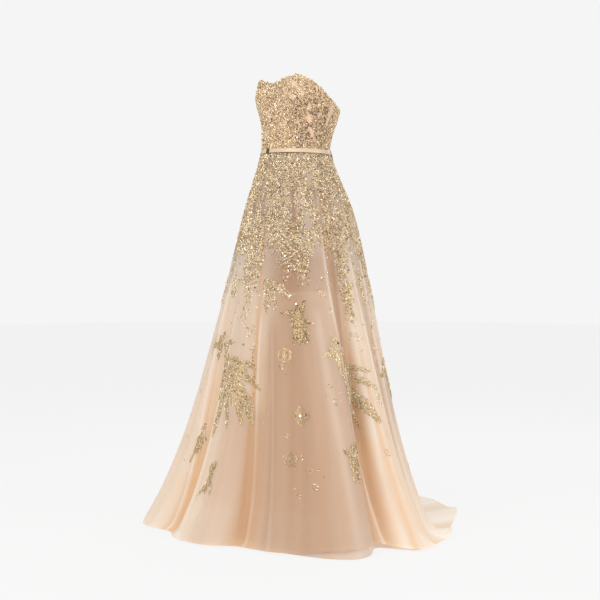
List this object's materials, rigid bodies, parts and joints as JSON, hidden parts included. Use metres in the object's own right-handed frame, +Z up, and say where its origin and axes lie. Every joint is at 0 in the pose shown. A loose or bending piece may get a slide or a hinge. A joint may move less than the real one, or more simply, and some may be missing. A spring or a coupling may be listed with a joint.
{
  "type": "strapless evening gown",
  "caption": "Strapless evening gown with a beaded sweetheart bodice, narrow satin belt and a full embroidered net skirt with a train, held open as worn.",
  "frame": {"origin": "centre of the waist seam, where the wearer holds the gown up", "axes": "+Z up along the body, front of the gown towards -Y, the wearer's left towards +X"},
  "size_m": [1.1244, 1.1184, 1.4456],
  "materials": {
    "beaded_net": "net closely embroidered with gold beads, sequins and crystals",
    "skirt_net": "sheer champagne net",
    "under_net": "sheer champagne net, matt",
    "slip_cloth": "nude stretch lining",
    "belt_satin": "champagne satin",
    "bead_applique": "gold beads and thread on net",
    "trim_metal": "antique gold"
  },
  "bodies": {
    "root": {"belt": "belt_satin", "belt_clasp": "trim_metal", "belt_keeper": "trim_metal", "zip_pull": "trim_metal", "bodice_back_right": "beaded_net", "bodice_side_back_right": "beaded_net", "bodice_side_front_right": "beaded_net", "bodice_centre_front": "beaded_net", "bodice_side_front_left": "beaded_net", "bodice_side_back_left": "beaded_net", "bodice_back_left": "beaded_net", "skirt_back_right": "skirt_net", "skirt_side_back_right": "skirt_net", "skirt_side_front_right": "skirt_net", "skirt_centre_front": "skirt_net", "skirt_side_front_left": "skirt_net", "skirt_side_back_left": "skirt_net", "skirt_back_left": "skirt_net", "skirt_under_layer": "under_net", "slip": "slip_cloth", "spray_front_right": "bead_applique", "spray_front_left": "bead_applique", "spray_centre": "bead_applique", "spray_low_left": "bead_applique", "spray_low_right": "bead_applique", "spray_low_side_right": "bead_applique", "spray_side_right": "bead_applique", "spray_back_right": "bead_applique", "spray_back_left": "bead_applique", "spray_centre_back": "bead_applique", "floret_upper": "bead_applique", "floret_front": "bead_applique", "floret_low": "bead_applique", "floret_side_right": "bead_applique", "floret_side_left": "bead_applique", "floret_back": "bead_applique"}
  },
  "joints": []
}
